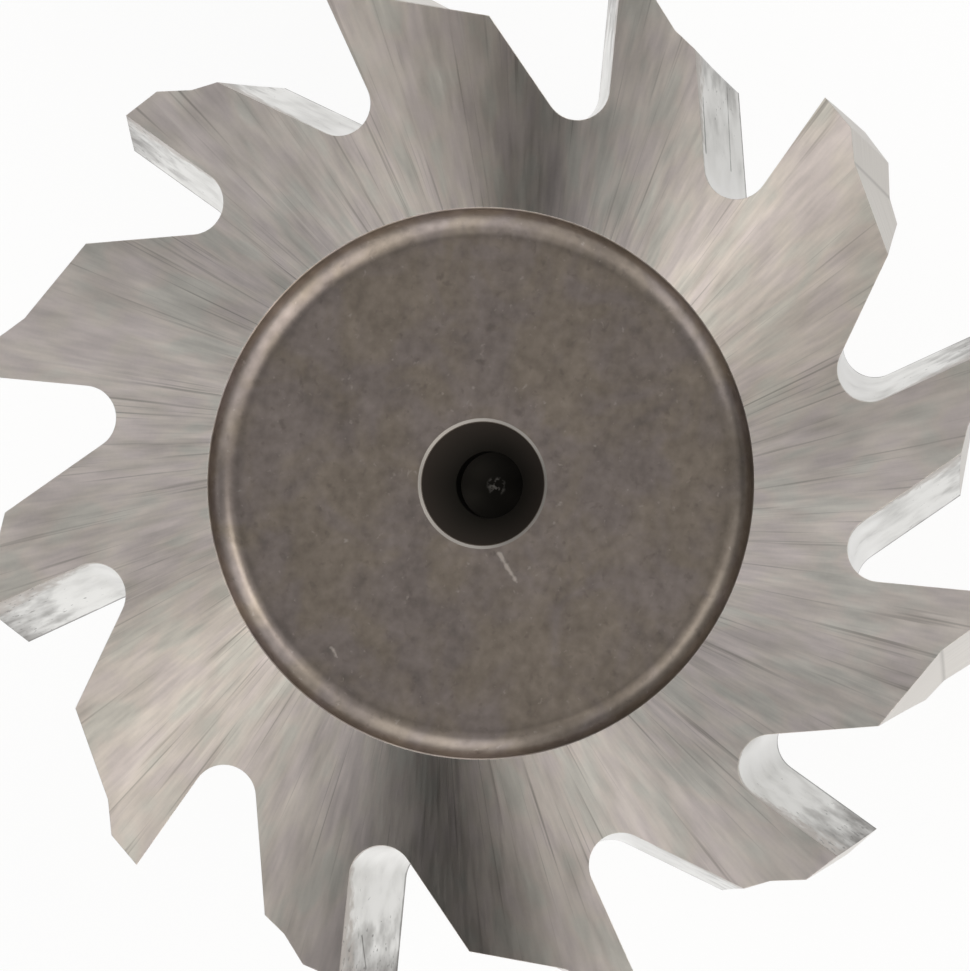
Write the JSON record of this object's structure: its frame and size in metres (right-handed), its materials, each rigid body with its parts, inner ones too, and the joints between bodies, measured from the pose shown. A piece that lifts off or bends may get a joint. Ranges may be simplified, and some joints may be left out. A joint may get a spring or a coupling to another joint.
{
  "type": "woodruff keyseat cutter",
  "caption": "Disc-shaped milling cutter with staggered, leaning teeth on a neck and a plain cylindrical shank, for cutting half-round key seats in shafts.",
  "frame": {"origin": "centre of the shank end", "axes": "+Z along the shank, towards the front face of the cutting head; +X through a tooth tip at the middle of the head's width"},
  "size_m": [0.038, 0.038, 0.0572],
  "materials": {
    "ground_steel": "ground, with a matte brown-grey recess"
  },
  "bodies": {
    "root": {"keyseat_cutter": "ground_steel"}
  },
  "joints": []
}
